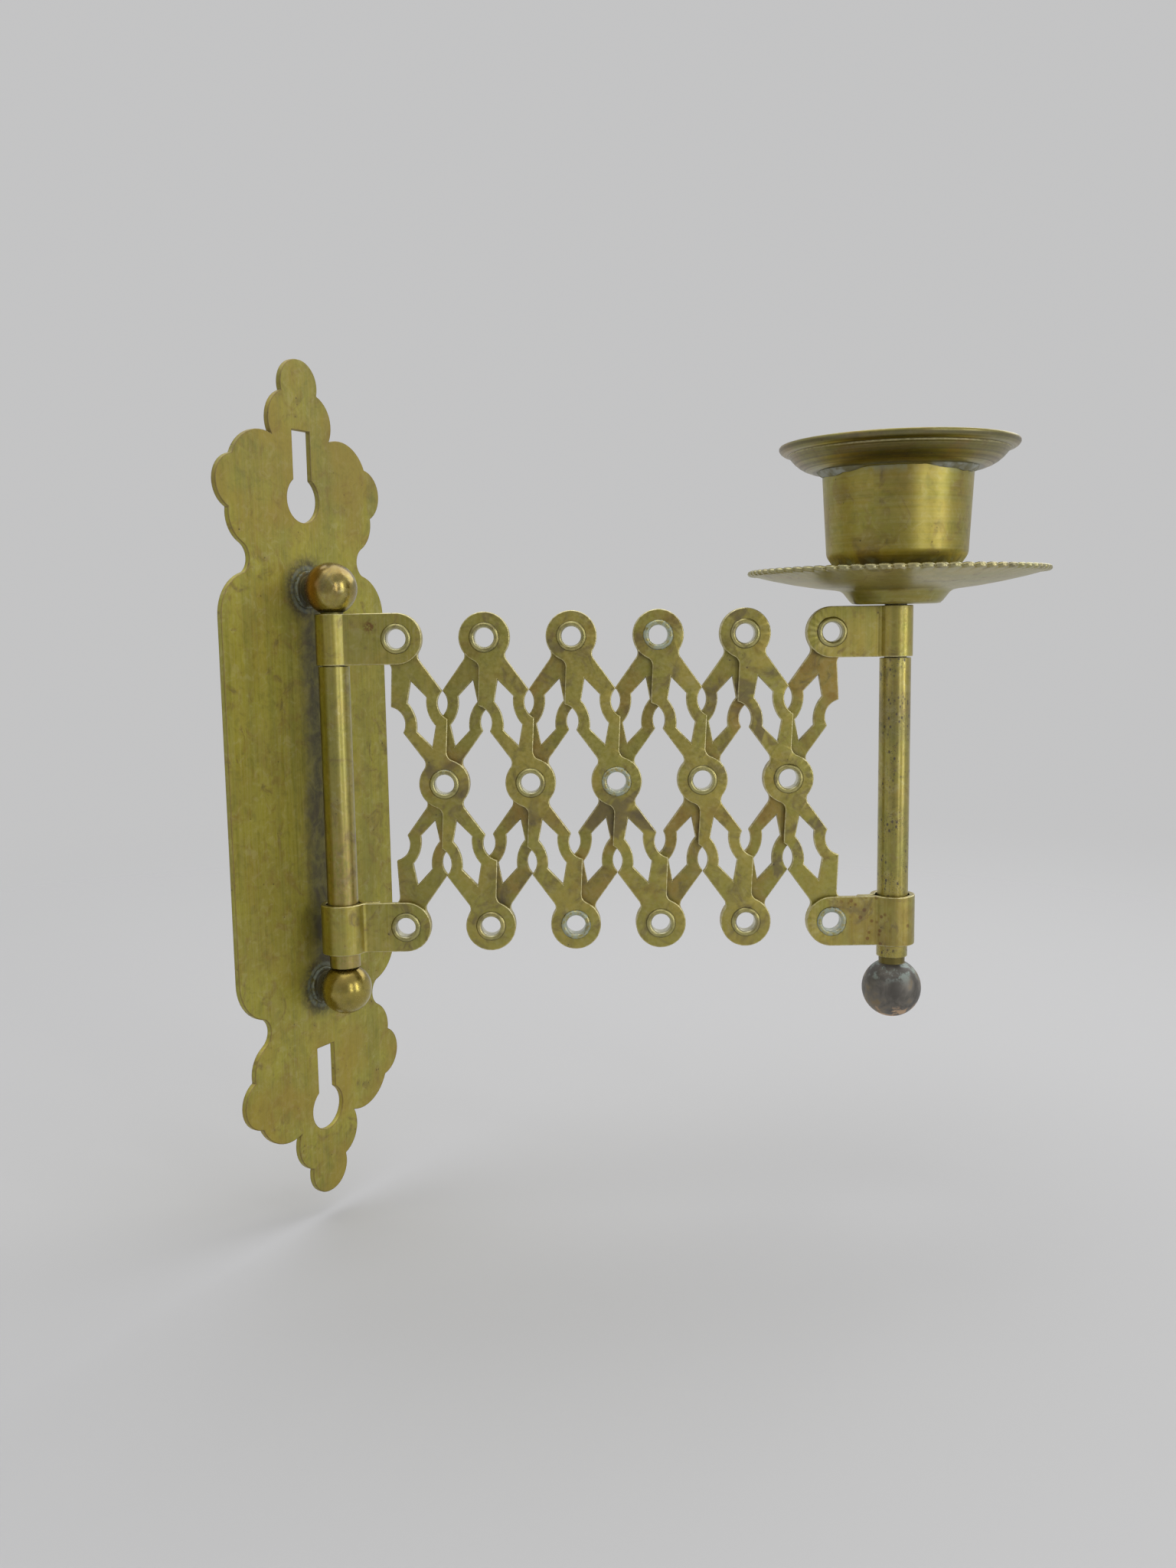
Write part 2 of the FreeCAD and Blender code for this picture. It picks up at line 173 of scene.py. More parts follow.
class Finish:
    """The node tree of a material or world, with the shader of a material."""

    def __init__(self, owner):
        owner.use_nodes = True
        self.owner = owner
        self.tree = owner.node_tree
        self.shader = self.tree.nodes.get("Principled BSDF")

    def set(self, socket, value):
        if isinstance(value, Value):
            self.tree.links.new(value.socket, socket)
        else:
            socket.default_value = value

    def add(self, kind, settings=None, *values, out=0, **named):
        """Any node: its type, its settings, then the values or links of its sockets."""
        node = self.tree.nodes.new(kind)
        for key, value in (settings or {}).items():
            setattr(node, key, value)
        in_use = [socket for socket in node.inputs if socket.enabled]
        for socket, value in zip(in_use, values):
            self.set(socket, value)
        for key, value in named.items():
            self.set(node.inputs[key.replace("_", " ")], value)
        return Value(self, node.outputs[out])

    def feed(self, **named):
        """Values or links for the material's own shader."""
        for key, value in named.items():
            self.set(self.shader.inputs[key.replace("_", " ")], value)

    def place(self, centre=(0, 0, 0), turn=0.0):
        """Object coordinates in millimetres, from a centre and turned about Z."""
        raw = self.add("ShaderNodeTexCoord", out="Object")
        settings = {"vector_type": "TEXTURE"}
        spot = tuple(v * MM for v in centre)
        return self.add("ShaderNodeMapping", settings, raw, spot, (0, 0, turn), (MM, MM, MM))

    def away(self, where, spot):
        """Distance from a fixed spot."""
        return self.add("ShaderNodeVectorMath", {"operation": "DISTANCE"}, where, tuple(spot), out="Value")

    def stretch(self, where, x, y, z):
        return self.add("ShaderNodeVectorMath", {"operation": "MULTIPLY"}, where, (x, y, z))

    def split(self, where):
        node = self.add("ShaderNodeSeparateXYZ", None, where).socket.node
        return [Value(self, socket) for socket in node.outputs]

    def height(self, where):
        return self.split(where)[2]

    def radius(self, where):
        """Distance from the Z axis."""
        x, y, _ = self.split(where)
        return (x * x + y * y) ** 0.5

    def cloud(self, where, scale, detail=3.0, rough=0.55, warp=0.0):
        """Noise about 0.5; at a scale of 1 its lumps are about a unit wide."""
        return self.add(
            "ShaderNodeTexNoise", None, Vector=where, Scale=scale, Detail=detail, Roughness=rough,
            Distortion=warp)

    def spots(self, where, scale):
        """Distance to the nearest of scattered points, in units of their spacing."""
        return self.add("ShaderNodeTexVoronoi", None, Vector=where, Scale=scale, Randomness=1.0)

    def mix(self, mask, a, b):
        """Colour a where mask is 0 and colour b where it is 1."""
        pair = [v if isinstance(v, Value) else (*v, 1.0) for v in (a, b)]
        return self.add("ShaderNodeMix", {"data_type": "RGBA"}, mask, *pair, out=2)

    def layered(self, colour, layers):
        """A colour with layers over it, each a mask and its colour."""
        for mask, tint in layers:
            colour = self.mix(mask, colour, tint)
        return colour

    def mark(self, name):
        """A mask that the mesh carries as an attribute."""
        return self.add("ShaderNodeAttribute", {"attribute_name": name}, out="Fac")

    def normal(self):
        return self.add("ShaderNodeNewGeometry", out="Normal")

    def rounded(self, radius):
        """The normal, turned as if the sharp edges were round."""
        return self.add("ShaderNodeBevel", {"samples": 6}, radius * MM)

    def sharpness(self, rounded):
        """More than 0 where a rounded normal leaves the true one."""
        settings = {"operation": "DOT_PRODUCT"}
        return 1 - self.add("ShaderNodeVectorMath", settings, rounded, self.normal(), out="Value")

    def crevice(self, reach):
        """1 deep in a corner or gap and 0 in the open."""
        return 1 - self.add("ShaderNodeAmbientOcclusion", {"samples": 8}, Distance=reach * MM, out="AO")

    def bump(self, relief, depth, normal):
        """Relief of up to depth millimetres on a normal."""
        return self.add(
            "ShaderNodeBump", None, Strength=1.0, Distance=depth * MM, Height=relief, Normal=normal)


def new_finish(name):
    return Finish(bpy.data.materials.new(name))


# Colours of the old brass, of what lies on it and of painted shade, highlight and reflection, in linear
# light
OLIVE = (0.400, 0.352, 0.056)
MOSS = (0.290, 0.285, 0.055)
LIME = (0.450, 0.405, 0.060)
GOLD = (0.470, 0.378, 0.066)
AMBER = (0.440, 0.300, 0.055)
BROWN = (0.300, 0.190, 0.045)
STRAW = (0.450, 0.410, 0.140)
PALE_GOLD = (0.500, 0.440, 0.150)
# Rubbed brass, also the painted highlight on edges
WORN_AND_HIGHLIGHT = (0.680, 0.615, 0.330)
# Pale rubbed metal, also the painted reflection in the eyelets' bores
PALE_METAL_AND_REFLECTION = (0.640, 0.620, 0.470)
COPPER = (0.480, 0.310, 0.130)
CHIPPED = (0.500, 0.340, 0.210)
# Orange tarnish, also a painted reflection of the plate on the upper ball
ORANGE_TARNISH_AND_REFLECTION = (0.380, 0.170, 0.030)
RUST = (0.200, 0.085, 0.030)
PLUM = (0.150, 0.112, 0.080)
# Tarnish, also painted shade where some stains darken the metal
TARNISH_AND_SHADE = (0.085, 0.080, 0.078)
# Grime, also painted shade in corners and gaps and on the eyelets' rims
GRIME_AND_SHADE = (0.060, 0.050, 0.028)
DUST = (0.300, 0.285, 0.220)
VERDIGRIS = (0.330, 0.410, 0.370)
SOLDER = (0.420, 0.440, 0.420)
THIN_SOLDER = (0.220, 0.190, 0.060)
KNOB_DARK = (0.100, 0.092, 0.080)
KNOB_GREY = (0.200, 0.185, 0.160)
KNOB_NECK = (0.170, 0.140, 0.045)


def shade(colour, amount):
    return tuple(v * amount for v in colour)


def brass(name, stains, centre=(0, 0, 0), turn=0.0, tones=(OLIVE, GOLD), bright=1.0, brush=None,
          eased=False, edge_r=0.3, roughness=0.34, grain=1.0, worn_and_highlight=1.0, grime_and_shade_share=1.0, green=0.5,
          streaky=0.4, blush=0.3, mottle=0.5, haze=0.0, coat=0.3):
    """Old brass: cloudy patina, brush lines, worn edges with painted highlight, grime and painted shade in
    corners, and verdigris.

    stains gives masks of more tarnish, in places with painted shade, and of more verdigris, and a list of
    tints, each a mask and its colour. centre and turn place the patterns. tones are the metal's two colours
    and bright scales them. brush makes the vector of the brush lines from a place and a
    fineness. An eased piece carries its edges as a mask; on others edge_r rounds them.
    grain is how uneven the roughness is. The three after it are the shares of rubbed edges, which
    also carry a painted highlight, of grime with painted shade in corners and of verdigris, streaky
    that of mossy streaks, blush that of amber patches, mottle that of small blots, haze that of dust
    and coat that of old lacquer.
    """
    f = new_finish(name)
    here = f.place(centre, turn)
    if eased:
        normal = f.normal()
        edges = f.mark("edge")
    else:
        normal = f.rounded(edge_r)
        edges = f.sharpness(normal).fade(0.015, 0.16)

    # Patterns, from coarse to fine
    cloudy = f.cloud(here, 0.09, detail=4.0, rough=0.6, warp=0.6)
    blushed = f.cloud(here, 0.13, warp=0.9)
    patchy = f.cloud(here, 0.24, detail=5.0, rough=0.62, warp=1.2)
    blots = f.cloud(here, 0.6, detail=4.0, rough=0.65, warp=0.8)
    fine = f.cloud(here, 1.7, rough=0.6)
    lines = f.cloud(brush(f, here, 1.0), 1.0, detail=2.0, rough=0.5) if brush else fine
    streaks = f.cloud(brush(f, here, 0.16), 1.0, detail=4.0, rough=0.6, warp=0.3) if brush else patchy
    pits = f.spots(here, 0.6).fade(0.13, 0.03) * patchy.fade(0.50, 0.62)
    # Ambient occlusion: it darkens corners and gaps as painted shade along with grime, and gathers verdigris
    corner = f.crevice(reach=2.2)

    # Masks of wear and dirt, with painted shade in corners and painted highlight on edges
    # Worn edges, which also carry a painted highlight
    worn_and_highlit_edge = edges * (0.35 + 0.65 * fine.fade(0.35, 0.6)) * worn_and_highlight
    # Grime in corners and gaps, with painted shade there
    grime_and_corner_shade = corner.fade(0.30, 0.85) * (0.35 + 0.65 * patchy.fade(0.35, 0.62))
    dark = (grime_and_corner_shade * 0.85 * grime_and_shade_share).most(pits * 0.75)
    more_tarnish_and_shade, more_green, tints = stains(f, here, patchy, fine)
    tarnish_and_shade = (patchy.fade(0.56, 0.70) * cloudy.fade(0.46, 0.6) * 0.35).most(more_tarnish_and_shade)
    verdigris = (corner.fade(0.42, 0.85) * patchy.fade(0.54, 0.66) * green).most(more_green)

    # Colour, from the metal to what lies on it
    light, deep = (shade(tone, bright) for tone in tones)
    colour = f.layered(f.mix(cloudy.fade(0.40, 0.60), light, deep), [
        (blushed.fade(0.50, 0.64) * blush, shade(AMBER, bright)),
        (streaks.fade(0.44, 0.64) * streaky, shade(MOSS, bright)),
        (patchy.fade(0.50, 0.66) * 0.45, shade(BROWN, bright)),
        (blots.fade(0.50, 0.68) * mottle, shade(MOSS, 0.72 * bright)),
        (blots.fade(0.48, 0.32) * 0.6 * mottle, shade(WORN_AND_HIGHLIGHT, 0.92 * bright)),
        ((lines - 0.5).fade(-0.22, 0.22) * 0.14, shade(WORN_AND_HIGHLIGHT, bright)),
        (haze * (0.6 + 0.8 * patchy), DUST),
        *tints,
        # Tarnish with the painted shade of some stains, grime with painted shade in corners, worn edges with
        # painted highlight
        (tarnish_and_shade * (0.75 + 0.25 * fine), TARNISH_AND_SHADE),
        (dark, GRIME_AND_SHADE),
        (worn_and_highlit_edge * (1 - dark), WORN_AND_HIGHLIGHT),
        (verdigris * (0.6 + 0.4 * fine), VERDIGRIS),
    ])
    uneven = 0.22 * (fine - 0.5) + 0.16 * (lines - 0.5)
    dulled = roughness + grain * uneven + 0.22 * tarnish_and_shade + 0.3 * dark - 0.06 * worn_and_highlit_edge
    relief = 0.55 * lines + 0.25 * fine + 0.7 * verdigris - 0.8 * pits
    f.feed(
        Base_Color=colour,
        Metallic=1 - 0.85 * verdigris - 0.35 * dark,
        Roughness=dulled.most(0.16).least(0.85),
        Normal=f.bump(relief * grain, depth=0.018, normal=normal),
        Coat_Weight=coat,
        Coat_Roughness=0.26,
    )
    return f


def upright_brush(f, here, fineness):
    """Brush lines along Z."""
    across = 3.0 * fineness
    along = 0.07 * fineness
    return f.stretch(here, across, across, along)


def turned_brush(f, here, fineness):
    """Rings round the Z axis that change slowly on their way round."""
    x, y, z = f.split(here)
    across = 2.6 * fineness
    around = f.add("ShaderNodeMath", {"operation": "ARCTAN2"}, y, x)
    return f.add("ShaderNodeCombineXYZ", None, f.radius(here) * across, around * 0.55, z * across)


def from_posts(f, here):
    """Distance from the axis of the nearer wall post."""
    x, _, z = f.split(here)
    rise = z.size() - POST_Z
    return (x * x + rise * rise) ** 0.5


def plate_stains(f, here, patchy, fine):
    """A dark strip behind the hinge rod, tarnish with the rod's shadow and reflection painted on it; rings
    round the posts, amber ends and brown edges.
    """
    x, y, z = f.split(here)
    front = y.fade(-0.55, -0.95)
    # The strip behind the rod: tarnish, with painted shadow and painted reflection of the rod
    drift = (f.cloud(f.stretch(here, 0.05, 0.05, 0.045), 1.0) - 0.5) * 7
    tarnish_and_shadow_strip = ((x - 1.2 + drift).size() + 2.2 * (fine - 0.5)).fade(5.0, 1.2)
    tarnish_and_shadow_strip = tarnish_and_shadow_strip * z.size().fade(ENDS_Z + 2, ENDS_Z - 7)
    tarnish_and_shadow_streak = tarnish_and_shadow_strip * front * (0.6 + 0.4 * patchy.fade(0.32, 0.6))
    collar = from_posts(f, here) - (COLLAR_R + 0.5)
    ring = collar.fade(3.0, 0.0) * front * (0.55 + 0.45 * fine.fade(0.3, 0.6))
    chalk = collar.size().fade(0.6, 0.1) * front * (0.35 + 0.65 * patchy.fade(0.40, 0.56))
    # Darker towards the top of the head
    head = z.fade(ENDS_Z, ENDS_Z + 14) * (0.12 + 0.16 * patchy)
    ends = z.size().fade(ENDS_Z, ENDS_Z + 10) * f.cloud(here, 0.10, detail=2.0).fade(0.38, 0.62)
    tints = [(ends * 0.45, AMBER), (f.mark("edge") * (0.35 + 0.5 * patchy), shade(BROWN, 0.6))]
    return (tarnish_and_shadow_streak * 0.86).most(ring * 0.9).most(head), chalk * 0.5, tints


def post_stains(f, here, patchy, fine):
    """The posts are grey all over, with chalky green on the rim of the collar."""
    chalk = from_posts(f, here).fade(COLLAR_R - 0.5, COLLAR_R - 0.1) * fine.fade(0.36, 0.56)
    return 0.55 + 0.4 * patchy, chalk * 0.6, []


def ball_stains(f, here, patchy, fine):
    """The upper ball is orange away from the arm, tarnish with a painted reflection of the plate; the lower
    one is more golden; both carry painted shade on top.
    """
    x, y, z = f.split(here)
    up = (z.size() - POST_Z) * (2 * z.fade(-1.0, 1.0) - 1)
    # Painted shade on the top of each ball
    top = up.fade(0.6, 3.4) * 0.6
    # Orange tarnish and a painted reflection of the plate on one side of the upper ball
    side = (-0.55 * x + 0.83 * (y - HINGE.y) + 1.6 * (patchy - 0.5)).fade(0.6, 2.8)
    tarnish_and_plate_reflection = side * z.fade(-45.0, 30.0) * 0.8
    gold = z.fade(0.0, -20.0) * 0.5
    tints = [(gold, shade(GOLD, 0.9)), (top, shade(BROWN, 0.55)), (tarnish_and_plate_reflection, ORANGE_TARNISH_AND_REFLECTION)]
    return patchy.fade(0.54, 0.70) * (1 - gold) * 0.4, 0.0, tints


def hinge_tube_stains(f, here, patchy, fine):
    """Coppery rubbed metal low on the hinge tube."""
    rubbed = f.height(here).fade(4.0, -14.0) * fine.fade(0.36, 0.60)
    return patchy.fade(0.56, 0.70) * 0.3, 0.0, [(rubbed * 0.4, COPPER)]


def candle_tube_stains(f, here, patchy, fine):
    """Dark pitting of the candle tube, thicker in some places and most in its upper part."""
    worst_z = 11.5
    worst = (f.height(here) - worst_z).size().fade(5.5, 2.0)
    dense = f.cloud(here, 0.22).fade(0.40, 0.54).most(worst)
    large = f.spots(f.stretch(here, 1.0, 1.0, 0.7), 1.25).fade(0.34, 0.12) * dense
    small = f.spots(here, 3.0).fade(0.34, 0.14) * dense
    speckle = large.most(small * 0.8)
    return (speckle * 0.9).most(worst * fine * 0.55), 0.0, [(speckle * 0.3, RUST)]


def clip_stains(f, here, patchy, fine):
    """Grey bloom, a rust mark on the top hinge clip, and a brown and spotted bottom candle clip."""
    rusty_spot = ARM @ Vector((6.5, -1.5, TOP_ROW + 2.1))
    bottom_clip = ARM @ Vector((POST_X - 3.0, -1.5, LOW_ROW))
    mark = f.away(here, rusty_spot).fade(1.7, 0.6) * fine.fade(0.42, 0.54)
    bottom = f.away(here, bottom_clip).fade(10.0, 6.0)
    spots = f.spots(here, 0.8).fade(0.36, 0.16) * f.cloud(here, 0.16).fade(0.44, 0.58)
    brown = bottom * f.cloud(here, 0.18).fade(0.40, 0.60) * 0.35
    rust = (mark * 0.8).most(spots * (0.2 + 0.5 * bottom))
    bloom = (patchy.fade(0.56, 0.70) * 0.4).most(bottom * patchy * 0.12)
    return bloom, 0.0, [(brown, BROWN), (rust, RUST)]


def link_stains(f, here, patchy, fine):
    """Plum and brown bloom on some strands."""
    plum = f.cloud(here, 0.11, rough=0.6, warp=0.8).fade(0.57, 0.66) * (0.55 + 0.45 * fine)
    brown = f.cloud(here, 0.14, rough=0.6, warp=0.8).fade(0.54, 0.68)
    return patchy.fade(0.56, 0.70) * 0.3, 0.0, [(brown * 0.26, RUST), (plum * 0.75, PLUM)]


def cup_stains(f, here, patchy, fine):
    """Chalky green under the cup's flange and above its foot, painted shadow and dark reflection of the pan
    on the foot, and a warm patch on the wall.
    """
    z = f.height(here)
    radius = f.radius(here)
    under = (z - CUP_TOP + 1.4).fade(-1.6, 0.6)
    under = under * radius.fade(CUP_R - 0.4, CUP_R) * radius.fade(CUP_R + 3.7, CUP_R + 1.3)
    low = (z - CUP_Z - 5.0).fade(2.6, 0.4) * radius.fade(7.5, 9.0)
    high_chalk = under * f.cloud(here, 0.28).fade(0.46, 0.60)
    low_chalk = low * f.cloud(here, 0.34).fade(0.52, 0.62)
    # Painted shadow and dark reflection of the pan on the cup's foot
    foot = (z - CUP_Z - 7.2).fade(1.0, -1.2) * radius.fade(5.0, 8.0)
    pan_shadow_on_foot = foot * (0.35 + 0.4 * patchy.fade(0.4, 0.6))
    warm = f.cloud(here, 0.12, detail=2.0).fade(0.52, 0.66)
    return pan_shadow_on_foot, high_chalk.most(low_chalk) * 0.45, [(warm * 0.22, RUST)]


def flange_stains(f, here, patchy, fine):
    """The flange is dull all round, chalky underneath, and darker underneath with grey tarnish and painted
    shade.
    """
    z = f.height(here)
    radius = f.radius(here)
    rings = f.cloud(f.add("ShaderNodeCombineXYZ", None, radius * 1.4, 0.0, z * 1.4), 1.0)
    # Darker underneath: grey tarnish and painted shade under the flange
    under = (radius * 0.55 - z + CUP_TOP).fade(6.2, 7.4)
    chalk = radius.fade(CUP_R + 2.3, CUP_R + 0.3) * f.cloud(here, 0.28).fade(0.46, 0.60)
    return (0.06 + 0.42 * under) * (0.3 + rings.fade(0.36, 0.62)), chalk * 0.35, []


def pan_stains(f, here, patchy, fine):
    """The beads of the pan's rim are rubbed pale."""
    beads = f.radius(here).fade(RIM_R + 0.3, RIM_R + 0.8) * (0.3 + 0.7 * fine)
    return patchy.fade(0.56, 0.70) * 0.3, 0.0, [(beads * 0.55, shade(PALE_METAL_AND_REFLECTION, 0.8))]


def eyelet_stains(f, here, patchy, fine):
    """Bores carry a painted pale reflection and rims grime and painted shade; eyelets here and there have
    gone green inside.
    """
    green = f.cloud(here, 0.055, detail=1.0).fade(0.56, 0.62)
    for x, z in ((REACH + 3 * PITCH, TOP_ROW), (REACH + 2 * PITCH, LOW_ROW), (LAST_X, LOW_ROW)):
        green = green.most(f.away(here, ARM @ Vector((x, 0, z))).fade(4.2, 3.2))
    # Painted pale reflection in the bores, grime and painted shade on the rims
    tints = [(f.mark("bore") * 0.8, PALE_METAL_AND_REFLECTION), (f.mark("rim") * 0.85, GRIME_AND_SHADE)]
    return patchy.fade(0.5, 0.66) * 0.3, green * fine.fade(0.36, 0.58) * 0.8, tints


def knob_finish():
    """Knob gone dark grey, with a brass neck and a bare chip underneath."""
    f = new_finish("dark knob")
    here = f.place(KNOB_CENTRE)
    z = f.height(here)
    cloudy = f.cloud(here, 0.25, detail=4.0, rough=0.6, warp=0.5)
    fine = f.cloud(here, 1.6, detail=4.0, rough=0.6)
    neck = z.fade(4.35, 4.55)
    chip = f.cloud(here, 0.32, detail=4.0, rough=0.6).fade(0.49, 0.55) * z.fade(-1.6, -3.6)
    bloom = f.cloud(here, 0.5, detail=4.0, rough=0.6).fade(0.50, 0.62) * z.fade(1.2, 3.6) * (1 - neck)
    colour = f.layered(f.mix(cloudy.fade(0.35, 0.65), KNOB_DARK, KNOB_GREY), [
        (cloudy.fade(0.52, 0.70) * 0.5, BROWN),
        (bloom * 0.7, VERDIGRIS),
        (chip, CHIPPED),
        (neck, KNOB_NECK),
    ])
    relief = 0.4 * fine + 0.5 * cloudy - 0.6 * chip
    f.feed(
        Base_Color=colour,
        Metallic=(0.55 + 0.4 * neck - 0.5 * chip - 0.4 * bloom).most(0.0),
        Roughness=0.46 + 0.3 * (fine - 0.5) + 0.25 * chip - 0.1 * neck,
        Normal=f.bump(relief, depth=0.05, normal=f.rounded(0.25)),
    )
    return f


def solder_finish():
    """Brass where the solder is thin; dull solder with a chalky green bloom on its lumps."""
    f = new_finish("old solder")
    here = f.place(CANDLE_AXIS)
    thick = f.mark("thick").fade(0.02, 0.45)
    lumps = f.cloud(here, 0.9, detail=4.0, rough=0.6)
    bloom = f.cloud(here, 0.3).fade(0.42, 0.6)
    colour = f.mix((bloom * 0.6 + 0.4) * thick, THIN_SOLDER, SOLDER)
    colour = f.mix(lumps.fade(0.55, 0.7) * thick * 0.6, colour, VERDIGRIS)
    f.feed(
        Base_Color=colour,
        Metallic=0.85 - 0.75 * bloom * thick,
        Roughness=0.5 + 0.35 * lumps,
        Normal=f.bump(lumps, depth=0.12, normal=f.normal()),
    )
    return f


finishes = {
    "plate": brass(
        "plate brass", plate_stains, tones=(OLIVE, LIME), bright=0.97, brush=upright_brush, eased=True,
        roughness=0.58, worn_and_highlight=0.1, green=0.3, streaky=0.45, blush=0.2, mottle=0.38),
    "link": brass(
        "link brass", link_stains, turn=ARM_TURN, bright=0.95, eased=True, roughness=0.42, mottle=0.26,
        haze=0.08, coat=0.35),
    # Back links darker than the front ones: painted shade of the front links over them
    "back link": brass(
        "back link brass", link_stains, turn=ARM_TURN, tones=(OLIVE, AMBER), bright=0.82, eased=True,
        roughness=0.44, worn_and_highlight=0.8, mottle=0.30, haze=0.08),
    "clip": brass(
        "clip brass", clip_stains, bright=0.97, brush=upright_brush, eased=True, roughness=0.40, worn_and_highlight=0.9,
        mottle=0.35, haze=0.06, coat=0.4),
    "hinge tube": brass(
        "hinge tube brass", hinge_tube_stains, bright=0.9, brush=upright_brush, edge_r=0.2, grain=0.35,
        haze=0.08, coat=0.4),
    "candle tube": brass(
        "candle tube brass", candle_tube_stains, bright=0.9, brush=upright_brush, edge_r=0.2, roughness=0.32,
        grain=0.6, haze=0.10, coat=0.4),
    "ball": brass(
        "ball brass", ball_stains, tones=(GOLD, BROWN), bright=0.85, edge_r=0.25, roughness=0.24, worn_and_highlight=0.4,
        green=0.8, haze=0.08),
    "post": brass(
        "post brass", post_stains, edge_r=0.25, roughness=0.50, worn_and_highlight=0.25, green=1.0),
    "cup": brass(
        "cup brass", cup_stains, CANDLE_AXIS, bright=0.86, brush=turned_brush, edge_r=0.25, roughness=0.40,
        grain=0.5, worn_and_highlight=0.5, mottle=0.35, haze=0.05, coat=0.15),
    "flange": brass(
        "flange brass", flange_stains, CANDLE_AXIS, tones=(OLIVE, AMBER), bright=0.78, brush=turned_brush,
        roughness=0.30, grain=0.8, worn_and_highlight=1.2, mottle=0.3, haze=0.10),
    "pan": brass(
        "pan brass", pan_stains, CANDLE_AXIS, bright=0.78, brush=turned_brush, edge_r=0.15, roughness=0.36,
        grain=0.5, grime_and_shade_share=0.6, mottle=0.4, haze=0.06),
    "eyelet": brass(
        "eyelet brass", eyelet_stains, tones=(STRAW, PALE_GOLD), edge_r=0.12, roughness=0.36, green=1.0,
        haze=0.12),
    "knob": knob_finish(),
    "solder": solder_finish(),
}


# Pieces modelled here

SMOOTH_BELOW = math.radians(38)


def spun(section, steps):
    """A closed section in (radius, height), spun once round the Z axis."""
    bm = bmesh.new()
    verts = [bm.verts.new((r, 0, z)) for r, z in section]
    for a, b in zip(verts, verts[1:] + verts[:1]):
        bm.edges.new((a, b))
    bmesh.ops.spin(
        bm, geom=bm.verts[:] + bm.edges[:], cent=(0, 0, 0), axis=(0, 0, 1), dvec=(0, 0, 0),
        angle=2 * math.pi, steps=steps, use_merge=True, use_normal_flip=False, use_duplicate=False)
    bmesh.ops.remove_doubles(bm, verts=bm.verts[:], dist=1e-4)
    bmesh.ops.recalc_face_normals(bm, faces=bm.faces[:])
    return bm


def shown(name, bm, finish):
    """An object of the scene from a bmesh in metres, smooth apart from its sharp edges."""
    mesh = bpy.data.meshes.new(name)
    bm.to_mesh(mesh)
    bm.free()
    mesh.shade_smooth()
    mesh.set_sharp_from_angle(angle=SMOOTH_BELOW)
    mesh.materials.append(finish.owner)
    made = bpy.data.objects.new(name, mesh)
    bpy.context.scene.collection.objects.link(made)
    return made


def piece(name, parts, body, finish, replaced=()):
    """Join meshes in millimetres into one object in place, riding on a body."""
    whole = bmesh.new()
    for bm, place in parts:
        bmesh.ops.transform(bm, matrix=place, verts=bm.verts[:])
        part = bpy.data.meshes.new("part")
        bm.to_mesh(part)
        bm.free()
        whole.from_mesh(part)
        bpy.data.meshes.remove(part)
    bmesh.ops.scale(whole, vec=(MM, MM, MM), verts=whole.verts[:])
    bmesh.ops.recalc_face_normals(whole, faces=whole.faces[:])
    made = shown(name, whole, finishes[finish])
    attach(made, body)
    if replaced:
        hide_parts(*replaced)


def eyelet(near, far):
    """Hollow rivet along Y with a rolled, slightly uneven lip on both faces of its stack."""
    front = [
        (BORE_R, near + 0.30), (BORE_R + 0.02, near - 0.02), (BORE_R + 0.10, near - 0.20),
        (BORE_R + 0.27, near - 0.34), (LIP_R - 0.38, near - 0.38), (LIP_R - 0.16, near - 0.28),
        (LIP_R, near - 0.10), (LIP_R - 0.03, near), (BARREL_R, near)]
    back = [(r, near + far - y) for r, y in front[::-1]]
    unevenness = 0.02
    bm = spun(front + back, steps=40)
    bore = bm.verts.layers.float.new("bore")
    rim = bm.verts.layers.float.new("rim")
    for v in bm.verts:
        r = v.co.xy.length
        v[bore] = 1.0 if r < BORE_R + 0.15 else 0.0
        v[rim] = 1.0 if r > LIP_R - 0.10 else 0.0
        if r > BARREL_R + 0.1:
            bump = noise.noise(Vector((v.co.x * 1.3, v.co.y * 1.3, v.co.z * 2 + near * 7 + far)))
            v.co.xy *= 1 + unevenness * bump
    bmesh.ops.rotate(bm, cent=(0, 0, 0), matrix=Matrix.Rotation(-math.pi / 2, 3, "X"), verts=bm.verts[:])
    return bm


def eyelets(name, node, body, places, stack):
    """The eyelets of a CAD node, at places along and up the arm."""
    parts = [(eyelet(*stack), ARM @ Matrix.Translation((x, 0, z))) for x, z in places]
    piece(name, parts, body, "eyelet", [node])


eyelets("rolled_eyelet_hinge_top", "top_hinge_eyelet", "arm", [(REACH, TOP_ROW)], ON_FRONT_LINK)
eyelets("rolled_eyelet_hinge_low", "bottom_hinge_eyelet", "low_hinge", [(REACH, LOW_ROW)], ON_BACK_LINK)
eyelets("rolled_eyelet_candle_top", "top_candle_eyelet", "outer_clip", [(LAST_X, TOP_ROW)], ON_BACK_LINK)
eyelets("rolled_eyelet_candle_low", "bottom_candle_eyelet", "low_outer", [(LAST_X, LOW_ROW)], ON_FRONT_LINK)
for i in range(1, CROSSINGS + 1):
    crossing = REACH + (i - 0.5) * PITCH
    places = [(crossing, MID_ROW)]
    if i > 1:
        places.append((crossing - PITCH / 2, TOP_ROW))
    if i < CROSSINGS:
        places.append((crossing + PITCH / 2, LOW_ROW))
    eyelets(f"rolled_eyelets_{i}", f"link_eyelets_{i}", f"front_{i}", places, TWO_LINKS)


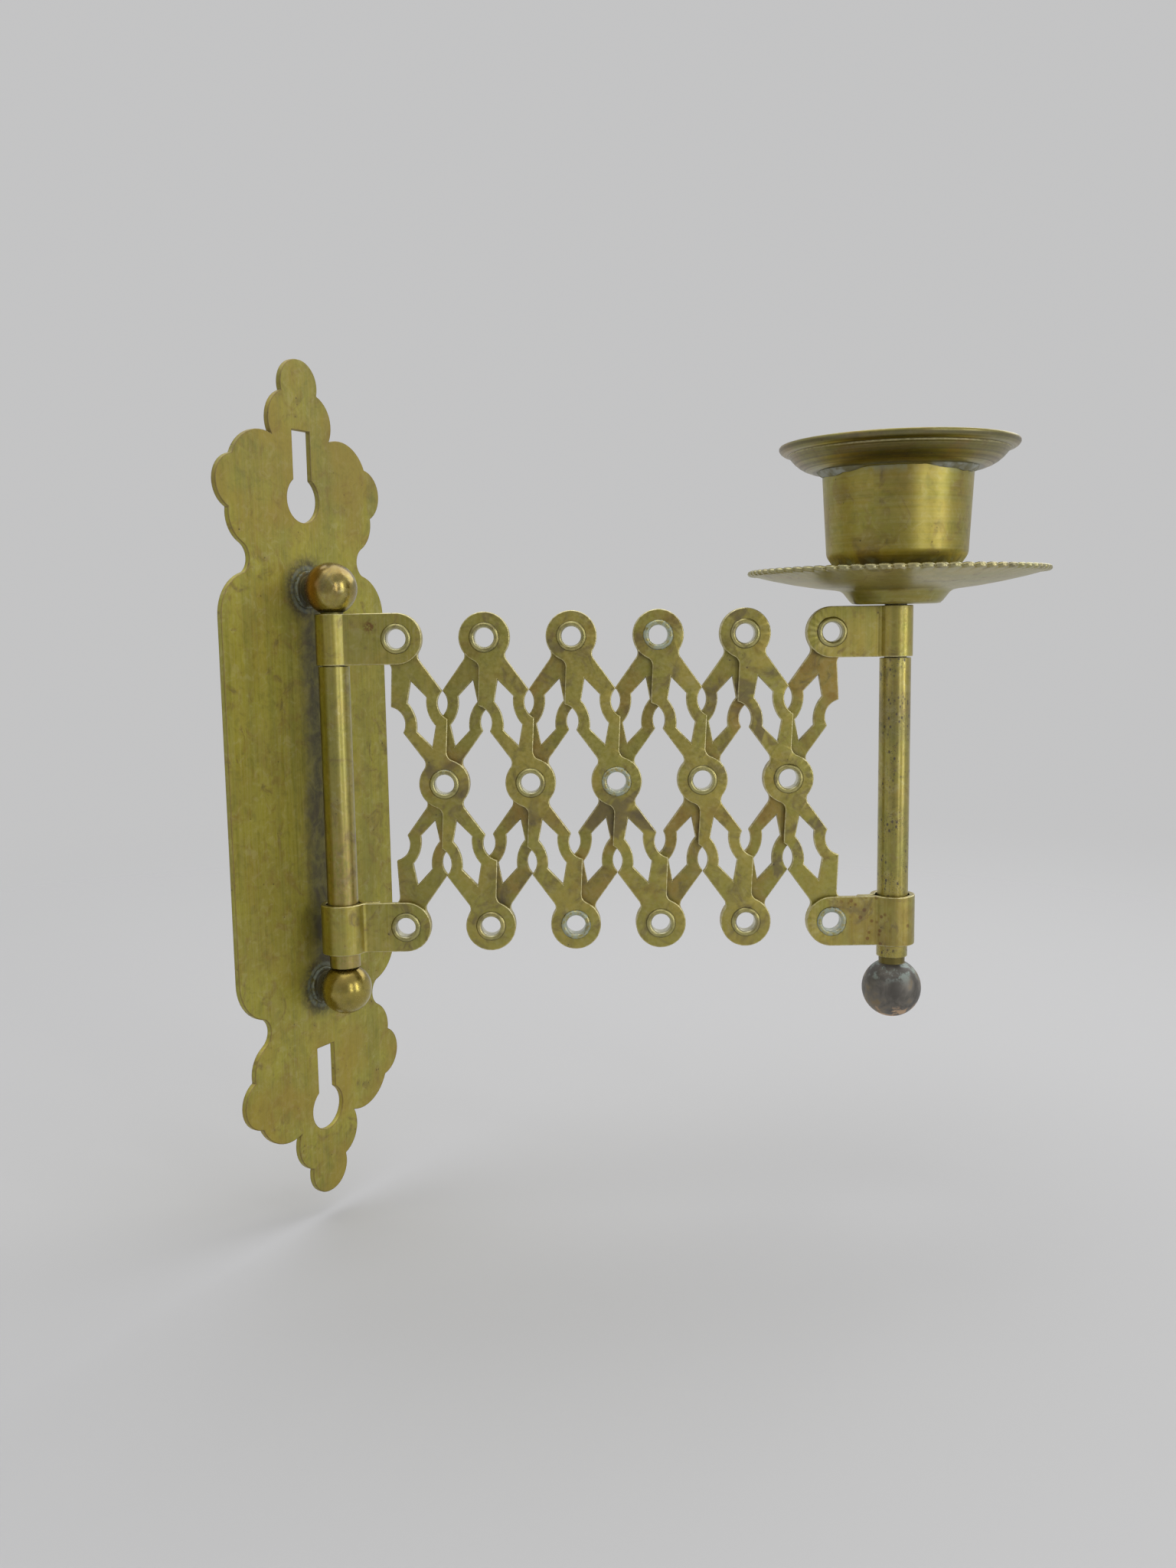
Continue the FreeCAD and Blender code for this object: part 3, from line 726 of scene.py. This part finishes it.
def crimped_pan():
    """Spun drip pan: pressed well, shallow dish and a rim nipped into small beads."""
    hole_r = 1.52
    wall = 0.5
    bead_z = 5.38
    bead_width = 0.8
    nip_depth = 0.024
    nip_height = 0.55
    dish = [
        (6.5, 0), (7.15, 0.10), (7.6, 0.5), (8.65, 1.85), (9.2, 2.22), (10.1, 2.40), (13.2, 2.78),
        (17.0, 3.42), (20.8, 4.22)]
    bead = [
        (23.2, 4.84), (23.75, 4.90), (24.2, 4.92), (24.5, 5.12), (24.55, bead_z), (24.45, 5.66),
        (24.1, 5.82), (23.7, 5.74), (23.3, 5.46)]
    inside = [(r - 0.05, z + wall) for r, z in dish[::-1]]
    bm = spun([(hole_r, 0), *dish, *bead, *inside, (hole_r, wall)], steps=CRIMPS * 8)
    for v in bm.verts:
        r = v.co.xy.length
        if r > RIM_R:
            share = min(1, (r - RIM_R) / bead_width)
            slant = 0.25 * (v.co.z - 5.4)
            bead_shape = abs(math.sin(CRIMPS / 2 * math.atan2(v.co.y, v.co.x) + slant))
            pinch = share * (1 - bead_shape) ** 2
            v.co.xy *= 1 - nip_depth * pinch
            v.co.z += (bead_z - v.co.z) * nip_height * pinch
    return bm


def stepped_flange():
    """Saucer round the mouth of the cup: a dished bowl, a ridge, a groove and a thick lip."""
    bowl = [
        (12.34, -0.90), (13.2, -0.86), (14.2, -0.68), (15.2, -0.30), (16.0, 0.16), (16.7, 0.72),
        (17.25, 1.32)]
    ridge = [(17.48, 1.62), (17.60, 1.76), (17.70, 1.80), (17.76, 1.90), (17.74, 2.06), (17.92, 2.12)]
    lip = [
        (18.30, 2.14), (18.75, 2.30), (19.12, 2.60), (19.33, 2.95), (19.34, 3.24), (19.18, 3.46),
        (18.95, 3.50), (18.76, 3.38)]
    inside = [
        (18.4, 2.98), (17.9, 2.66), (17.45, 2.44), (17.15, 2.16), (16.8, 1.68), (16.3, 1.16),
        (15.6, 0.62), (14.8, 0.18), (13.9, -0.12), (13.0, -0.27), (12.34, -0.30)]
    return spun(bowl + ridge + lip + inside, steps=144)


def solder_bead():
    """Solder in the corner under the flange: run out into three lumps, thin between them."""
    lumps_at = [math.radians(a) for a in (64, 196, 316)]
    spread = math.radians(38)
    corner_z = -0.85
    section = [
        (12.26, -1.7), (12.5, -1.62), (12.95, -1.24), (13.3, -0.86), (13.1, -0.68), (12.32, -0.76)]
    bm = spun(section, steps=180)
    thick = bm.verts.layers.float.new("thick")
    for v in bm.verts:
        angle = math.atan2(v.co.y, v.co.x)
        apart = min(abs((angle - lump + math.pi) % (2 * math.pi) - math.pi) for lump in lumps_at)
        run_out = max(0.0, 1 - (apart / spread) ** 2)
        v[thick] = run_out
        swell = run_out * noise.noise(Vector((math.cos(angle) * 5.5, math.sin(angle) * 5.5, 0.3)))
        grain = 0.06 * noise.noise(v.co * 1.9)
        out = max(0.0, v.co.xy.length - CUP_R) * (0.22 + 0.95 * run_out + 0.5 * swell)
        v.co.xy *= (CUP_R + out + grain) / v.co.xy.length
        v.co.z = corner_z + (v.co.z - corner_z) * (0.3 + 0.9 * run_out + 0.4 * swell) + grain
    return bm


on_clip = CANDLE @ Matrix.Translation((0, 0, PAN_Z))
on_cup = CANDLE @ Matrix.Translation((0, 0, CUP_TOP))
piece("crimped_pan", [(crimped_pan(), on_clip)], "candle", "pan", ["drip_pan"])
piece("stepped_flange", [(stepped_flange(), on_cup)], "candle", "flange", ["cup_flange"])
piece("solder_bead", [(solder_bead(), on_cup)], "candle", "solder")


# Stamped sheet pieces with their edges eased

EASE = 0.16
FLAT_BELOW = math.radians(0.6)
SHARP_ABOVE = math.radians(50)


def eased_sheet(node, body, finish):
    """The CAD sheet with its sharp edges rounded; the rounding is marked for the wear and its painted
    highlight.
    """
    bm = bmesh.new()
    bm.from_mesh(frame["nodes"][node].data)
    bmesh.ops.remove_doubles(bm, verts=bm.verts[:], dist=1e-6)
    bmesh.ops.dissolve_limit(
        bm, angle_limit=FLAT_BELOW, use_dissolve_boundaries=False, verts=bm.verts[:], edges=bm.edges[:])
    mark = bm.faces.layers.float.new("edge")
    sharp = [e for e in bm.edges if len(e.link_faces) == 2 and e.calc_face_angle() > SHARP_ABOVE]
    rounding = bmesh.ops.bevel(
        bm, geom=sharp, offset=EASE * MM, offset_type="OFFSET", affect="EDGES", segments=3, profile=0.5,
        material=-1, clamp_overlap=False)
    for face in rounding["faces"]:
        face[mark] = 1.0
    bmesh.ops.triangulate(bm, faces=[face for face in bm.faces if len(face.verts) > 4])
    sheet = shown(f"eased_{node}", bm, finishes[finish])
    weighted = sheet.modifiers.new("flat faces", "WEIGHTED_NORMAL")
    weighted.keep_sharp = True
    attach(sheet, body)
    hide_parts(node)


# Finishes of the CAD nodes: sheets by a word in their name, all that aren't listed are eyelets
sheets = {
    "wall_plate": "plate",
    "front_link": "link",
    "back_link": "back link",
    "clip": "clip",
}
looks = {
    "upper_post": "post",
    "lower_post": "post",
    "upper_ball": "ball",
    "lower_ball": "ball",
    "hinge_rod": "hinge tube",
    "hinge_tube": "hinge tube",
    "candle_rod": "candle tube",
    "candle_tube": "candle tube",
    "candle_knob": "knob",
    "candle_cup": "cup",
    "cup_nut": "cup",
    "cup_flange": "flange",
    "drip_pan": "pan",
}
for body, nodes in frame["record"]["behaviour"]["bodies"].items():
    for name in nodes:
        look = looks.get(name, "eyelet")
        for word, finish in sheets.items():
            if word in name:
                look = finish
                eased_sheet(name, body, finish)
        node = frame["nodes"][name]
        node.data.materials.clear()
        node.data.materials.append(finishes[look].owner)


# Floor, light and camera, placed in metres

FLOOR_R = 2.5
FLOOR_GAP = 0.004
FLOOR = (0.50, 0.50, 0.505)
ROOM = (0.55, 0.55, 0.553)
CEILING = (0.80, 0.80, 0.80)
DIM_SIDE = (0.36, 0.36, 0.365)
AIM = Vector((0.025, -0.05, 0.0))


def floor_finish():
    """Pale floor that keeps the shadow and fades into the room far away."""
    f = new_finish("pale floor")
    f.feed(Base_Color=(*FLOOR, 1.0), Roughness=0.9, Specular_IOR_Level=0.2)
    far = f.radius(f.place()).fade(130, 520)
    clear = f.add("ShaderNodeBsdfTransparent")
    seen = f.add("ShaderNodeMixShader", None, far, Value(f, f.shader.outputs[0]), clear)
    f.set(f.tree.nodes["Material Output"].inputs["Surface"], seen)
    return f


bm = bmesh.new()
bmesh.ops.create_circle(bm, cap_ends=True, segments=96, radius=FLOOR_R)
bmesh.ops.translate(bm, vec=(0, 0, cad_box[0][2] - FLOOR_GAP), verts=bm.verts[:])
floor = shown("floor", bm, floor_finish())

# The room is lighter above and dimmer on the side that the camera stands on
sky = Finish(bpy.data.worlds.new("pale room"))
x, y, z = sky.split(sky.add("ShaderNodeTexCoord", out="Generated"))
dim = (-0.80 * x - 0.60 * y).fade(0.35, 0.95) * z.fade(0.75, 0.25)
room = sky.mix(z.fade(0.45, 0.95), ROOM, CEILING)
sky.set(sky.tree.nodes["Background"].inputs["Color"], sky.mix(dim, room, DIM_SIDE))
bpy.context.scene.world = sky.owner


def lamp(name, place, size, power):
    """Rectangular lamp that shines on the sconce."""
    data = bpy.data.lights.new(name, "AREA")
    data.shape = "RECTANGLE"
    data.size, data.size_y = size
    data.energy = power
    made = bpy.data.objects.new(name, data)
    made.location = place
    made.rotation_euler = (AIM - Vector(place)).to_track_quat("-Z", "Y").to_euler()
    bpy.context.scene.collection.objects.link(made)


lamp("left window", (-0.29, -0.62, 0.12), size=(0.08, 0.44), power=0.45)
lamp("right window", (0.02, -0.70, 0.12), size=(0.10, 0.44), power=0.60)
lamp("fill", (0.70, -0.25, 0.60), size=(0.7, 0.7), power=2.6)
lamp("top", (0.05, 0.05, 0.80), size=(0.9, 0.9), power=3.0)

view = bpy.data.cameras.new("photo view")
view.sensor_fit = "VERTICAL"
view.sensor_height = 36.0
view.lens = 30.22
view.clip_start = 0.01
camera = bpy.data.objects.new("photo view", view)
stand = (-0.1684, HINGE.y * MM - 0.14872, 0.02769)
heading = math.radians(59.36)
pitch = math.radians(6.97)
roll = math.radians(-0.91)
camera.matrix_world = (
    Matrix.Translation(stand)
    @ Matrix.Rotation(-heading, 4, "Z")
    @ Matrix.Rotation(math.pi / 2 - pitch, 4, "X")
    @ Matrix.Rotation(roll, 4, "Z"))
bpy.context.scene.collection.objects.link(camera)
bpy.context.scene.camera = camera
bpy.context.scene.view_settings.view_transform = "Standard"
